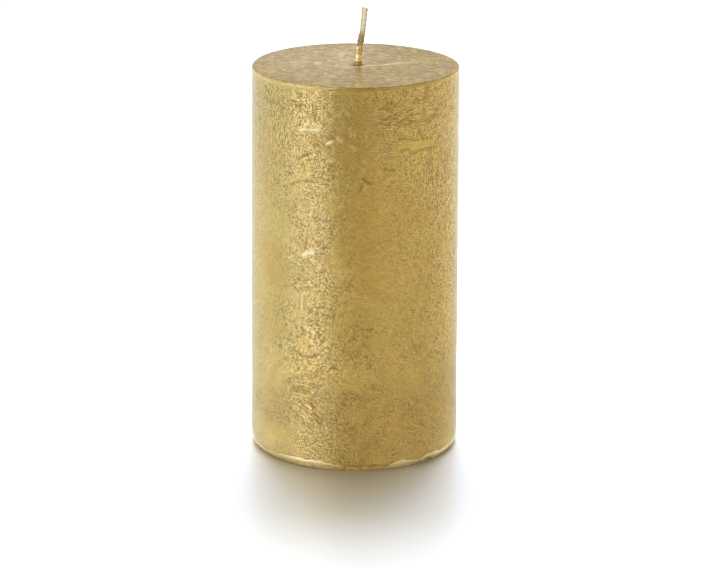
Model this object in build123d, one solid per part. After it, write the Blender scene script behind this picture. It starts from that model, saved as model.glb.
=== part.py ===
from build123d import *
import os

# Gold frosted pillar candle with one wick. Millimetres.
# Origin: centre of the foot, on the surface the candle stands on. +Z is up,
# and the wick leans towards +X.

# ---- driving dimensions ------------------------------------------------------
# the body
BODY_HEIGHT = 130.0  # floor to the flat top
TOP_RADIUS = 34.0  # outside of the gold coat at the rim
LOW_RADIUS = 34.68  # outside of the gold coat where the foot bead starts
RIM_ROUND = 1.3  # rounding of the top rim
COAT = 0.4  # thickness of the gold coat
OVERDIP_TOP = 2.4  # thickness of the hard wax over the core's top
CORE_RADIUS = 31.0  # pressed core
# the foot
FOOT_HEIGHT = 3.4  # height of the bead of remelted wax
FOOT_CONTACT_RADIUS = 32.67  # outer edge of the ring that stands on the floor
FOOT_MID = (33.95, 1.35)  # radius and height half way up the bead's bulge
FOOT_INNER_RADIUS = 31.9  # inner edge of the bead on the floor
# the base
RECESS_RADIUS = 24.0  # shallow recess that keeps the label off the table
RECESS_DEPTH = 0.8
COUNTERBORE_RADIUS = 10.0
COUNTERBORE_DEPTH = 2.0
LABEL_RADIUS = 22.0
LABEL_THICK = 0.12
# the sustainer
TAB_RADIUS = 9.0
TAB_THICK = 0.3
NECK_RADIUS = 1.25
NECK_HEIGHT = 6.0
# the wick
WICK_RADIUS = 0.85
BORE_RADIUS = 2.1
ROOT_OFFSET = 0.8  # the wick comes out of the top this far from the axis
WICK_TOP = 149.2  # highest corner of the slanted tip
WICK_TIP_TILT = 12.0  # degrees; the -X corner is the higher one
# the standing wick, as offsets from its root, with the bend radius at each point
STANDING = [
    ((0.52, 6.20), 2.4),
    ((0.88, 7.10), 2.4),
    ((1.02, 8.40), 6.0),
    ((1.76, 11.10), 10.0),
    ((2.35, 16.90), 20.0),
    ((2.43, 20.40), None),
]
# the wax sleeve on the standing wick
SLEEVE_RADIUS = 1.05
SLEEVE_LENGTH = 5.7
BULB_RADIUS = 1.35
BULB_HEIGHT = 2.0  # straight part of the bulb, above the top
BULB_TAPER = 1.4

# ---- derived -----------------------------------------------------------------
INNER_TOP = BODY_HEIGHT - COAT  # top of the overdip and of the bore fill
CORE_TOP = INNER_TOP - OVERDIP_TOP
COUNTERBORE_TOP = RECESS_DEPTH + COUNTERBORE_DEPTH
TAB_BOTTOM = COUNTERBORE_TOP - TAB_THICK


def turned(points, radii=None):
    """A solid of revolution about Z from (radius, height) corners."""
    corners = [(r, 0, z) for r, z in points]
    outline = FilletPolyline(*corners, radius=radii or 0, close=True)
    return revolve(make_face(outline), Axis.Z)


def disc(radius, low, high, x=0.0):
    """An upright cylinder between two heights."""
    return Pos(x, 0, low) * Cylinder(
        radius, high - low, align=(Align.CENTER, Align.CENTER, Align.MIN)
    )


# ---- the wick ----------------------------------------------------------------
# straight up the bore with a slight drift, then the leaning part that stands free
route = [(0, 0, TAB_BOTTOM), (ROOT_OFFSET, 0, BODY_HEIGHT)]
route += [(ROOT_OFFSET + dx, 0, BODY_HEIGHT + dz) for (dx, dz), _ in STANDING]
bends = [30.0] + [r for _, r in STANDING[:-1]]
path = FilletPolyline(*route, radius=bends)
section = Plane(origin=path @ 0, z_dir=path % 0) * Circle(WICK_RADIUS)
wick = sweep(section, path)
tip_x = ROOT_OFFSET + STANDING[-2][0][0] + 0.05
tip_cut = (
    Pos(tip_x - WICK_RADIUS, 0, WICK_TOP)
    * Rot(0, WICK_TIP_TILT, 0)
    * Box(12, 12, 6, align=(Align.CENTER, Align.CENTER, Align.MIN))
)
wick = wick - tip_cut

# ---- the sustainer -----------------------------------------------------------
wick_sustainer = (
    disc(TAB_RADIUS, TAB_BOTTOM, COUNTERBORE_TOP)
    + disc(NECK_RADIUS, COUNTERBORE_TOP, COUNTERBORE_TOP + NECK_HEIGHT)
) - wick

# ---- the wax body ------------------------------------------------------------
wax_core = turned(
    [
        (BORE_RADIUS, CORE_TOP),
        (CORE_RADIUS, CORE_TOP),
        (CORE_RADIUS, 0),
        (RECESS_RADIUS, 0),
        (RECESS_RADIUS, RECESS_DEPTH),
        (COUNTERBORE_RADIUS, RECESS_DEPTH),
        (COUNTERBORE_RADIUS, COUNTERBORE_TOP),
        (BORE_RADIUS, COUNTERBORE_TOP),
    ]
)

overdip_shell = turned(
    [
        (BORE_RADIUS, INNER_TOP),
        (TOP_RADIUS - COAT, INNER_TOP),
        (LOW_RADIUS - COAT, FOOT_HEIGHT),
        (FOOT_INNER_RADIUS, 0),
        (CORE_RADIUS, 0),
        (CORE_RADIUS, CORE_TOP),
        (BORE_RADIUS, CORE_TOP),
    ],
    [0, RIM_ROUND - COAT, 0, 0, 0, 0, 0],
)

gold_coat = turned(
    [
        (0, INNER_TOP),
        (TOP_RADIUS - COAT, INNER_TOP),
        (LOW_RADIUS - COAT, FOOT_HEIGHT),
        (LOW_RADIUS, FOOT_HEIGHT),
        (TOP_RADIUS, BODY_HEIGHT),
        (0, BODY_HEIGHT),
    ],
    [0, RIM_ROUND - COAT, 0, 0, RIM_ROUND, 0],
) - disc(BULB_RADIUS, INNER_TOP - 1, BODY_HEIGHT + 1, ROOT_OFFSET)

foot_outline = Line(
    (FOOT_INNER_RADIUS, 0, 0), (FOOT_CONTACT_RADIUS, 0, 0)
) + ThreePointArc(
    (FOOT_CONTACT_RADIUS, 0, 0),
    (FOOT_MID[0], 0, FOOT_MID[1]),
    (LOW_RADIUS, 0, FOOT_HEIGHT),
)
foot_outline += Polyline(
    (LOW_RADIUS, 0, FOOT_HEIGHT),
    (LOW_RADIUS - COAT, 0, FOOT_HEIGHT),
    (FOOT_INNER_RADIUS, 0, 0),
)
foot_bead = revolve(make_face(foot_outline), Axis.Z)

bore_fill_wax = (
    disc(BORE_RADIUS, COUNTERBORE_TOP, INNER_TOP) - wick_sustainer - wick
)

# ---- the base ----------------------------------------------------------------
base_seal_plug = (
    disc(COUNTERBORE_RADIUS, RECESS_DEPTH, COUNTERBORE_TOP) - wick_sustainer - wick
)
base_label = disc(LABEL_RADIUS, RECESS_DEPTH - LABEL_THICK, RECESS_DEPTH)

# ---- the wax on the standing wick --------------------------------------------
lean = Vector(STANDING[0][0][0], 0, STANDING[0][0][1])
root = Pos(ROOT_OFFSET, 0, 0)
bulb = root * turned(
    [
        (0, INNER_TOP),
        (BULB_RADIUS, INNER_TOP),
        (BULB_RADIUS, BODY_HEIGHT + BULB_HEIGHT),
        (SLEEVE_RADIUS, BODY_HEIGHT + BULB_HEIGHT + BULB_TAPER),
        (0, BODY_HEIGHT + BULB_HEIGHT + BULB_TAPER),
    ]
)
stem = Plane(origin=(ROOT_OFFSET, 0, BODY_HEIGHT), z_dir=lean) * (
    disc(SLEEVE_RADIUS, 0, SLEEVE_LENGTH)
    + Pos(0, 0, SLEEVE_LENGTH)
    * Cone(
        SLEEVE_RADIUS,
        WICK_RADIUS + 0.05,
        0.3,
        align=(Align.CENTER, Align.CENTER, Align.MIN),
    )
)
wick_wax_sleeve = bulb + stem - wick

# ---- export ------------------------------------------------------------------
nodes = {
    "wax_core": wax_core,
    "overdip_shell": overdip_shell,
    "gold_coat": gold_coat,
    "foot_bead": foot_bead,
    "wick": wick,
    "wick_wax_sleeve": wick_wax_sleeve,
    "bore_fill_wax": bore_fill_wax,
    "wick_sustainer": wick_sustainer,
    "base_seal_plug": base_seal_plug,
    "base_label": base_label,
}

os.makedirs("parts", exist_ok=True)
for name, shape in nodes.items():
    shape.label = name
    export_step(shape, f"parts/{name}.step")
    box = shape.bounding_box()
    print(
        f"{name:16s} solids {len(shape.solids())}  volume {shape.volume:10.1f} mm3"
        f"  z {box.min.Z:7.2f} to {box.max.Z:7.2f}  x {box.min.X:7.2f} to {box.max.X:7.2f}"
    )
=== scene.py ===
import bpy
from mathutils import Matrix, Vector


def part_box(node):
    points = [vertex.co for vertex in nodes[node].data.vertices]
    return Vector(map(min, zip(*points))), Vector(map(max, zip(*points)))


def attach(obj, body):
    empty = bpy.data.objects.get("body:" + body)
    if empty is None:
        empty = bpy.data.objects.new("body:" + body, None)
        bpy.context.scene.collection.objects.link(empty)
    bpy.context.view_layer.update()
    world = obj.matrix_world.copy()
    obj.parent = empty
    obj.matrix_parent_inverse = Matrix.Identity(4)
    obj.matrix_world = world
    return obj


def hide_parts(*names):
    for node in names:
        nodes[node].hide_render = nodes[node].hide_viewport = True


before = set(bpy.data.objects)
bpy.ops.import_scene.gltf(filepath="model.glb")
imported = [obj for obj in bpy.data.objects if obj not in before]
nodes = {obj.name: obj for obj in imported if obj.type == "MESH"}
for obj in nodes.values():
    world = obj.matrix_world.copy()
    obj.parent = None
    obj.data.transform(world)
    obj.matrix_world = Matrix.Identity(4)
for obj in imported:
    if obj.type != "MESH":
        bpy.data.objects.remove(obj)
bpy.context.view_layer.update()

import math

import bpy
import numpy as np
from mathutils import Matrix, Vector

# Gold frosted pillar candle. Lengths are millimetres unless a name ends in _M or
# a comment says metres; meshes are scaled to metres when they are made.
MM = 0.001
scene = bpy.context.scene

# ---- sizes, from the CAD nodes ----
coat_lo, coat_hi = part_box("gold_coat")
TOP_Z = coat_hi.z / MM  # the flat top
FOOT_Z = coat_lo.z / MM  # where the foot bead meets the coat
LOW_R = coat_hi.x / MM  # outside radius above the bead
TOP_R = LOW_R - 0.68  # outside radius at the rim
ROUND = 2 * math.pi * 34.3  # mean length round the wall
COAT = 0.4  # thickness of the coat
CONTACT_R = 32.67  # outside radius where the bead meets the floor
ROOT_X = 0.8  # the wick's root on the top


def wall_radius(z):
    """Outside radius of the coat at a height."""
    return LOW_R + (TOP_R - LOW_R) * (z - FOOT_Z) / (TOP_Z - FOOT_Z)


def foot_radius(z):
    """Outside radius where the candle curves in to the floor, and above."""
    swell = np.clip(np.sin(np.clip(z / FOOT_Z, 0, 1) * math.pi / 2), 0, 1) ** 0.75
    return CONTACT_R + (wall_radius(z) - CONTACT_R) * swell


# ---- noise ----
def smooth(edge0, edge1, x):
    """A soft step from 0 at one edge to 1 at the other."""
    t = np.clip((x - edge0) / (edge1 - edge0), 0, 1)
    return t * t * (3 - 2 * t)


class Field:
    """Periodic band-limited noise over a rectangle, in mm, with a standard deviation of 1."""

    def __init__(self, seed, width, height, wave, spread=0.35, stretch=1.0, angle=0.0, cell=0.4):
        self.w, self.h = width, height
        nx = max(int(round(width / cell)), 8)
        ny = max(int(round(height / cell)), 8)
        rng = np.random.default_rng(seed)
        spectrum = np.fft.rfft2(rng.standard_normal((ny, nx)))
        fx, fy = np.meshgrid(np.fft.rfftfreq(nx, width / nx), np.fft.fftfreq(ny, height / ny))
        c, s = math.cos(math.radians(angle)), math.sin(math.radians(angle))
        along, across = (fx * c + fy * s) * stretch, -fx * s + fy * c
        k = np.hypot(along, across)
        k[0, 0] = 1e-9
        keep = np.exp(-((np.log(k * wave) / spread) ** 2))
        keep[0, 0] = 0
        grid = np.fft.irfft2(spectrum * keep, s=(ny, nx))
        self.grid = grid / grid.std()

    def __call__(self, x, y):
        """The noise at points, blended between the four grid values round each."""
        ny, nx = self.grid.shape
        fx, fy = (x / self.w % 1) * nx, (y / self.h % 1) * ny
        ix, iy = np.floor(fx).astype(int), np.floor(fy).astype(int)
        tx, ty = fx - ix, fy - iy
        ix, iy = ix % nx, iy % ny
        jx, jy = (ix + 1) % nx, (iy + 1) % ny
        g = self.grid
        low = g[iy, ix] * (1 - tx) + g[iy, jx] * tx
        high = g[jy, ix] * (1 - tx) + g[jy, jx] * tx
        return low * (1 - ty) + high * ty


def bell(x, middle, half):
    """A soft bump of height 1."""
    return np.exp(-(((x - middle) / half) ** 2))


def blob(x, y, x0, y0, x_half, y_half):
    """A soft spot of height 1."""
    return np.exp(-(((x - x0) / x_half) ** 2) - (((y - y0) / y_half) ** 2))


def arc(angle, middle):
    """Signed degrees from an azimuth, wrapped to half a turn each way."""
    return (angle - middle + 180) % 360 - 180


# ---- meshes ----
def grid_faces(points, first=0, closed=False, caps=()):
    """Faces of a grid of points [row, column, xyz] whose columns go round.

    closed joins the last row to the first. caps are (row, flip) of the rows
    closed by one face, and flip turns that face over.
    """
    rows, columns, _ = points.shape
    here = np.arange(rows * columns).reshape(rows, columns) + first
    right = np.roll(here, -1, 1)
    quads = np.stack([here, right, np.roll(right, -1, 0), np.roll(here, -1, 0)], -1)
    faces = (quads if closed else quads[:-1]).reshape(-1, 4).tolist()
    for row, flip in caps:
        edge = here[row].tolist()
        faces.append(edge[::-1] if flip else edge)
    return faces


def linked_mesh(name, points, faces, attributes=None):
    """A smooth object from points in mm and faces, with a number at each point for each attribute."""
    mesh = bpy.data.meshes.new(name)
    mesh.from_pydata((points.reshape(-1, 3) * MM).tolist(), [], faces)
    mesh.polygons.foreach_set("use_smooth", [True] * len(mesh.polygons))
    for key, values in (attributes or {}).items():
        layer = mesh.attributes.new(key, "FLOAT", "POINT")
        layer.data.foreach_set("value", np.asarray(values, np.float32).ravel())
    mesh.validate()
    mesh.update()
    obj = bpy.data.objects.new(name, mesh)
    scene.collection.objects.link(obj)
    return obj


def grid_mesh(name, points, attributes=None, closed=False, caps=()):
    """An object from one grid of points."""
    return linked_mesh(name, points, grid_faces(points, 0, closed, caps), attributes)


def polar(radius, azimuth, x0=0.0):
    """x and y at an azimuth in degrees: 0 faces the viewer (-Y), and +90 is +X."""
    a = np.radians(azimuth)
    return x0 + radius * np.sin(a), -radius * np.cos(a)


def ring(radius, azimuth, z):
    """Points round the axis; radius and z are a number or one for each azimuth."""
    return np.stack([*polar(radius, azimuth), z + 0 * azimuth], -1)


# ---- relief of the coat ----
HIGH = 150  # height of the noise fields, a little more than the candle's
slow = Field(11, ROUND, HIGH, 34, 0.5, cell=1.0)
lumps = Field(12, ROUND, HIGH, 7.5, 0.4)
cells = Field(13, ROUND, HIGH, 2.7, 0.3)
cells_b = Field(14, ROUND, HIGH, 2.1, 0.3)
folds = Field(15, ROUND, HIGH, 2.1, 0.3, stretch=4.0, angle=8, cell=0.3)
folds_b = Field(16, ROUND, HIGH, 3.0, 0.35, stretch=3.0, angle=-14, cell=0.3)
patches = Field(17, ROUND, HIGH, 22, 0.5, cell=1.0)
patches_b = Field(18, ROUND, HIGH, 11, 0.5, cell=0.8)

# how strongly the front is frosted: at each height, the level at five azimuths
FROST_AZIMUTHS = (-60, -27, -4, 22, 52)
FROST_LEVELS = {
    0: (0.75, 1.4, 1.4, 0.95, 0.9),
    12: (0.75, 1.4, 1.35, 0.85, 0.9),
    28: (0.85, 1.35, 1.25, 0.7, 1.0),
    48: (0.6, 0.9, 1.0, 0.5, 0.85),
    68: (0.42, 0.75, 0.85, 0.35, 0.95),
    89: (0.6, 0.85, 0.7, 0.45, 1.3),
    106: (0.95, 1.05, 0.75, 0.9, 1.6),
    121: (1.15, 1.1, 0.85, 1.4, 1.6),
    130: (1.15, 1.05, 0.75, 1.4, 1.6),
}
FROST_MOST = 1.6

# painted light and shade on the front of the gold: at each height, the share at six azimuths
PAINTED_LIGHT_AZIMUTHS = (-66, -30, -8, 12, 34, 62)
PAINTED_LIGHT_LEVELS = {
    0: (1.02, 1.2, 1.12, 1.12, 1.08, 1.1),
    8: (1.08, 1.22, 1.14, 1.12, 1.06, 1.06),
    25: (1.08, 1.2, 1.14, 1.12, 1.02, 1.02),
    47: (0.96, 0.95, 1.01, 1.02, 1.01, 0.96),
    68: (0.97, 0.84, 1.02, 1.03, 1.02, 1.00),
    89: (0.91, 0.84, 0.9, 1.00, 1.05, 1.04),
    108: (0.86, 0.94, 0.82, 0.96, 1.12, 1.00),
    122: (0.8, 0.92, 0.8, 0.93, 1.08, 0.95),
}


def by_place(table, azimuths, azimuth, z):
    """A value from a table of heights, each with its values at some azimuths."""
    heights = np.array(sorted(table))
    levels = np.stack([np.interp(azimuth, azimuths, table[h]) for h in heights])
    k = np.clip(np.searchsorted(heights, z) - 1, 0, len(heights) - 2)
    t = np.clip((z - heights[k]) / (heights[k + 1] - heights[k]), 0, 1)
    low = np.take_along_axis(levels, k[None], 0)[0]
    high = np.take_along_axis(levels, k[None] + 1, 0)[0]
    return low * (1 - t) + high * t


def spots(azimuth, z, table):
    """The soft spots of a table, added up."""
    return sum(share * blob(arc(azimuth, az0), z, 0, z0, *halves) for share, az0, z0, *halves in table)


# soft spots on the front: share, azimuth, height, and half width each way
CALM_SPOTS = [  # smooth stretches in the frost
    (0.55, -30, 56.5, 4, 3.5), (0.8, -28, 43.0, 6, 3.0), (0.55, -35, 95.3, 4, 3.0),
    (0.7, -25, 79.5, 3, 3.0), (0.85, 36, 109.3, 13, 2.0), (0.55, 11, 90.0, 4, 12),
    (0.35, 14, 63.0, 5, 12), (0.45, 4, 92.0, 5, 4.0), (0.45, -58, 60.0, 12, 22),
    (0.4, -48, 82.0, 6, 5),
]
FOLD_SPOTS = [
    (1, 30, 119.5, 21, 4.5), (0.6, 20, 106, 10, 4), (0.45, -26, 90, 12, 2.5),
    (0.5, 5, 60, 11, 3), (0.4, -24, 12, 12, 3),
]
UPRIGHT_SPOTS = [
    (0.9, -50, 112, 14, 9), (0.8, -46, 83, 9, 7), (0.8, 50, 100, 14, 9),
    (0.7, 35, 114, 6, 2), (0.6, 55, 78, 10, 14),
]
SLANT_SPOTS = [(0.9, -25, 20.5, 8, 4.5), (0.9, -20, 112, 6, 3.5), (0.7, -31, 55, 5, 3)]


def frost_amount(azimuth, z):
    """How strongly the coat is frosted."""
    u = azimuth / 360 * ROUND
    drift = patches(u, z)
    fine = patches_b(u, z)
    random_side = 0.62 + 0.22 * drift + 0.16 * fine + 0.3 * smooth(80, 122, z)
    seen = smooth(92, 68, np.abs(azimuth))
    front = by_place(FROST_LEVELS, FROST_AZIMUTHS, azimuth, z)
    amount = random_side * (1 - seen) + front * seen
    amount *= 1 + seen * (0.16 * fine + 0.1 * drift)
    for spot in CALM_SPOTS:
        amount *= 1 - spots(azimuth, z, [spot])
    return np.clip(amount, 0.03, FROST_MOST)


def form_amount(azimuth, z, spot_table, most, low, high, move, lift, start, end):
    """Where strokes take another form: soft spots in front, and patches at random behind."""
    patch = most * smooth(low, high, patches(azimuth / 360 * ROUND + move, z + lift))
    wild = patch * smooth(start, end, np.abs(azimuth))
    return np.clip(spots(azimuth, z, spot_table) + wild, 0, 1)


def fold_amount(azimuth, z):
    """Long wavy folds, strongest to the right of the front under the rim."""
    amount = form_amount(azimuth, z, FOLD_SPOTS, 0.9, 0.9, 2.0, 60, 31, 70, 110)
    return amount * smooth(178, 160, np.abs(azimuth))


def upright_amount(azimuth, z):
    """Where the strokes of the frost stand upright."""
    return form_amount(azimuth, z, UPRIGHT_SPOTS, 0.8, 0.5, 1.3, 130, 90, 70, 100)


def slant_amount(azimuth, z):
    """Where the strokes run down to the right."""
    amount = form_amount(azimuth, z, SLANT_SPOTS, 0.7, 0.6, 1.4, 20, 60, 60, 90)
    return amount * smooth(178, 160, np.abs(azimuth))


# ---- marks on the front ----
# each is a height over the wall, a half width, and points as mm round from the front and mm up
MARKS = [
    # raised streaks and flakes, which carry a painted highlight
    (0.11, 0.75, (-19, 114.9), (-15, 115.3), (-11.8, 115.6)),
    (0.07, 0.55, (-16.7, 116.9), (-11.1, 117.4)),
    (0.14, 0.6, (-9.4, 111.3), (-7.7, 112)),
    (0.14, 0.55, (-5.6, 113.1), (-4.8, 112.1)),
    (0.16, 0.9, (-17.6, 73.4), (-15.7, 74.3), (-14, 74.5)),
    (0.06, 0.35, (-26, 71.4), (-16.4, 73.1)),
    (0.08, 0.45, (-17.1, 49), (-15.3, 48.6), (-13.4, 47.5)),
    (0.06, 0.45, (-18.8, 60.3), (-15.8, 60.6)),
    (0.08, 0.45, (3.4, 97.9), (2.4, 95.5)),
    (0.05, 0.45, (-2.9, 61.8), (1.9, 60.2), (7.5, 58.3)),
    (0.05, 0.4, (-0.5, 62.6), (4.3, 60)),
    (0.05, 0.4, (0.2, 58.9), (6.8, 57.4)),
    (0.05, 0.4, (-5.1, 68.4), (-3.6, 66)),
    (0.06, 0.4, (19.7, 88.9), (21.3, 89.6), (22.8, 88.4)),
    (0.06, 0.45, (27.1, 84.7), (29.3, 86.2)),
    (0.06, 0.45, (34.4, 86.4), (38.4, 88.6)),
    (0.06, 0.4, (-5.6, 120.6), (-4, 123), (-1.9, 120.9)),
    (0.07, 0.4, (-1.5, 116.2), (-1.4, 114)),
    (0.07, 0.4, (-0.4, 115.9), (-0.3, 114.2)),
    (0.09, 0.5, (-1.2, 110.4), (-0.2, 109.6)),
    (0.09, 0.45, (3.4, 113.9), (3.9, 113.6)),
    (0.09, 0.45, (2.7, 106), (3.1, 105.6)),
    (0.08, 0.4, (-11.1, 90.5), (-11.1, 89.5)),
    (0.06, 0.45, (-18.3, 59), (-18.2, 54.6)),
    (0.07, 0.5, (-14.2, 88.2), (-15.4, 87)),
    # cracks and grooves
    (-0.06, 0.36, (-8.5, 129), (-2, 129.1), (6.5, 129)),
    (-0.13, 0.32, (-9.9, 111.2), (-8.6, 112.5), (-6.9, 113.3), (-5.2, 112.6), (-4.5, 111.2)),
    (-0.13, 0.32, (-10.4, 111.2), (-9, 110.4), (-7.6, 109.6)),
    (-0.1, 0.3, (-14.4, 113), (-11.8, 111)),
    (-0.1, 0.3, (-13.2, 113), (-10.6, 111.2)),
    (-0.09, 0.3, (-14.6, 111.8), (-12.2, 110)),
    (-0.11, 0.32, (-20.1, 105.9), (-18.7, 105.4), (-16.1, 107.2)),
    (-0.11, 0.32, (-18.7, 105.4), (-17.1, 103), (-17, 101.2)),
    (-0.11, 0.32, (-21.4, 124), (-20.6, 122.5), (-17.3, 123.3)),
    (-0.1, 0.3, (-14.1, 124.3), (-13.8, 119.7)),
    (-0.1, 0.3, (-13.1, 123.9), (-12.8, 119.4)),
    (-0.12, 0.32, (-15.9, 128.6), (-14.1, 127.3)),
    (-0.07, 0.35, (-33.9, 121.4), (-31, 122.5), (-28.4, 122)),
    (-0.07, 0.32, (7, 117.9), (14, 117.2), (17.9, 116.8), (19.3, 117.6), (24.4, 117.4), (30.4, 118.4)),
    (-0.06, 0.32, (7.2, 118.1), (10.4, 119.8), (11.5, 120.1), (14, 118.6), (15.6, 118.2)),
    (-0.09, 0.36, (15.6, 118.2), (17, 119.3), (19.6, 117.5)),
    (-0.08, 0.36, (7.6, 122.6), (12.5, 124.6)),
    (-0.08, 0.36, (10, 122.4), (14, 124.2)),
    (-0.08, 0.38, (14.6, 112.4), (18.5, 112), (20.2, 111.4), (27.5, 111.2)),
    (-0.09, 0.38, (15.1, 108.4), (18.2, 108.6), (19.2, 107), (22.6, 107.8), (30.6, 107.6)),
    (-0.08, 0.34, (21.9, 114.6), (22.5, 112.8), (23.9, 111.7)),
    (-0.09, 0.34, (9.3, 103.2), (10.8, 102.5), (12.8, 102.1)),
    (-0.1, 0.36, (-16.4, 79), (-16.6, 75.6), (-18.4, 73.4)),
    (-0.08, 0.3, (-13.7, 74.1), (-10.3, 74.5)),
    (-0.09, 0.32, (-10.2, 76.5), (-8.2, 76.6)),
    (-0.08, 0.34, (-22.5, 96.2), (-19.3, 97.8), (-13.4, 98.4)),
    (-0.12, 0.4, (2.6, 99.9), (3.9, 98.6), (5, 98.2)),
    (-0.1, 0.55, (2.2, 97.2), (2, 96)),
    (-0.15, 0.4, (-21.4, 40.3), (-19.6, 40), (-18.3, 38.8), (-14.6, 39), (-12.9, 39.8)),
    (-0.05, 0.34, (-22.4, 30.6), (-18.3, 31.2), (-14.6, 32.6), (-12.2, 34.6), (-10.2, 36.4)),
    (-0.08, 0.32, (-20.9, 27.2), (-18.3, 27.8), (-15.8, 27), (-14.6, 26.2)),
    (-0.07, 0.3, (-20.4, 26.2), (-18.2, 26.8), (-16.2, 26)),
    (-0.08, 0.32, (-18.6, 22.9), (-13.1, 19.6), (-10.3, 17.1)),
    (-0.1, 0.3, (-17, 23.8), (-13, 21.6), (-10.6, 19.6)),
    (-0.1, 0.3, (-18.2, 21.2), (-13.8, 18.6), (-10.8, 16.2)),
    (-0.08, 0.3, (-16, 25), (-12, 22.8)),
    (-0.05, 0.32, (-16, 14.6), (-12.2, 15.5), (-8.6, 16.2)),
    (-0.09, 0.3, (-18.8, 59), (-18.8, 54.6)),
    (-0.09, 0.3, (-17.1, 59.2), (-17.1, 54.8)),
    (-0.08, 0.32, (-19.4, 65.3), (-17.5, 65.8), (-15.8, 65.4), (-17.4, 64.7), (-19.4, 65)),
    (-0.06, 0.34, (-25.3, 61.3), (-22.5, 62.2), (-20, 63.6)),
    (-0.08, 0.3, (-15.8, 50.4), (-14, 51.6), (-11.8, 51.4)),
    (-0.08, 0.3, (-15.6, 49.4), (-13.8, 50.4), (-11.6, 50.2)),
]
GROOVE_DEPTH = 1.2  # how strongly the grooves among the marks are cut
CRACK_FULL, FLAKE_FULL = 0.12, 0.16  # marks this deep get the full painted shade, and marks this high the full painted highlight
PIT_HALF, PIT_DEPTH, PIT_REACH = 0.4, 0.1, 1.6  # half width, depth, and how far a pit is worked out
# pits left by bubbles, darkened with painted shade, as mm round from the front and mm up
PITS = [
    (-21.2, 42.8), (-27.1, 40.8), (-17.8, 48.5), (-20.2, 48.5), (-18.1, 46.5), (-19.4, 45.2),
    (-15, 42.9), (-20.7, 55.8), (-14.9, 54.4), (-18.9, 34.7), (-16.9, 34.1), (-13, 44.3),
    (-2.8, 83.3), (0.7, 50.5), (3, 43.9), (-24.6, 36.4), (-22.9, 30.1), (-14.3, 36.6),
]


def near_line(x, y, points, width):
    """Nearness to a polyline, 1 on the line."""
    best = np.full(np.shape(x), 1e9)
    for (ax, ay), (bx, by) in zip(points[:-1], points[1:]):
        dx, dy = bx - ax, by - ay
        t = np.clip(((x - ax) * dx + (y - ay) * dy) / (dx * dx + dy * dy), 0, 1)
        best = np.minimum(best, np.hypot(x - ax - t * dx, y - ay - t * dy))
    return bell(best, 0, width)


def wall_relief(azimuth, z):
    """Height over the plain cone in mm, and masks for frost, folds, upright strokes, the painted shade in
    cracks and pits, and flakes with their painted highlight.
    """
    u = azimuth / 360 * ROUND
    frost = frost_amount(azimuth, z)
    fold = fold_amount(azimuth, z)
    upright = upright_amount(azimuth, z)
    h = 0.04 * slow(u, z) + 0.01 * lumps(u, z)
    furrow = bell(cells(u, z), 0, 0.4) + 0.8 * bell(cells_b(u, z), 0, 0.36)
    h -= 0.007 * frost * furrow * (1 - 0.7 * fold)
    h += 0.034 * fold * folds(u, z) + 0.026 * fold * folds_b(u, z)
    crack, flake = np.zeros_like(h), np.zeros_like(h)
    for height, width, *points in MARKS:
        near = near_line(u, z, points, width)
        if height < 0:
            h += GROOVE_DEPTH * height * near
            crack = np.maximum(crack, near * min(-height / CRACK_FULL, 1))
        else:
            h += height * near
            flake = np.maximum(flake, near * min(height / FLAKE_FULL, 1))
    rng = np.random.default_rng(5)
    # more pits drawn at random, near those and on the back at the right
    pits = PITS + [(rng.normal(-14.5, 3.4), rng.normal(39, 8)) for _ in range(26)]
    pits += [(rng.uniform(60, 155), rng.uniform(12, 120)) for _ in range(60)]
    for x0, z0 in pits:
        # most of the wall is far from a pit, so only its neighbourhood is worked out
        close = (np.abs(u - x0) < PIT_REACH) & (np.abs(z - z0) < PIT_REACH)
        near = blob(u[close], z[close], x0, z0, PIT_HALF, PIT_HALF)
        h[close] -= PIT_DEPTH * near
        crack[close] = np.maximum(crack[close], near)
    return h, frost, fold, upright, crack, flake


def round_profile(azimuth, points):
    """A value round the candle from (azimuth, value) points, smoothed a little."""
    azimuths, values = zip(*points)
    shifts = (-3, -1.5, 0, 1.5, 3)
    return sum(np.interp(azimuth + shift, azimuths, values, period=360) for shift in shifts) / len(shifts)


# ---- the rim ----
edge_noise = Field(31, 360, 40, 26, 0.5, cell=1.0)
# the rim's rounding, and how far its smooth wax reaches down, by azimuth
ROUNDING = [(-150, 0.8), (-85, 0.8), (-30, 0.65), (-14, 0.4), (10, 0.35), (24, 0.5), (75, 0.6), (130, 0.7)]
REACH = [(-150, 1.3), (-80, 1.6), (-52, 1.6), (-34, 1.1), (-18, 0.6), (-8, 0.5), (10, 0.5)]
REACH += [(30, 0.7), (75, 1.1), (130, 1.2)]


def rim_rounding(azimuth):
    """Radius of the rim's rounding: soft at the left, crisp at the middle of the front."""
    return round_profile(azimuth, ROUNDING) + 0.05 * edge_noise(azimuth + 180, azimuth * 0 + 3)


def rim_reach(azimuth):
    """How far the smooth wax of the top reaches down the wall."""
    reach = round_profile(azimuth, REACH) + 0.16 * edge_noise(azimuth + 180, azimuth * 0 + 20)
    return np.maximum(reach, rim_rounding(azimuth) + 0.12)


def sag(x, y):
    """The top sinks a little towards the back, most at the right."""
    return -0.2 * smooth(-30, 34, y) * (1 + 0.35 * x / 24)


def rim_surface(azimuth, z):
    """Outside radius at a height, with the rounding of the rim."""
    rounding = rim_rounding(azimuth)
    depth = np.clip(z - (TOP_Z - rounding), 0, rounding)
    return wall_radius(z) - rounding + np.sqrt(rounding**2 - depth**2)


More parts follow.
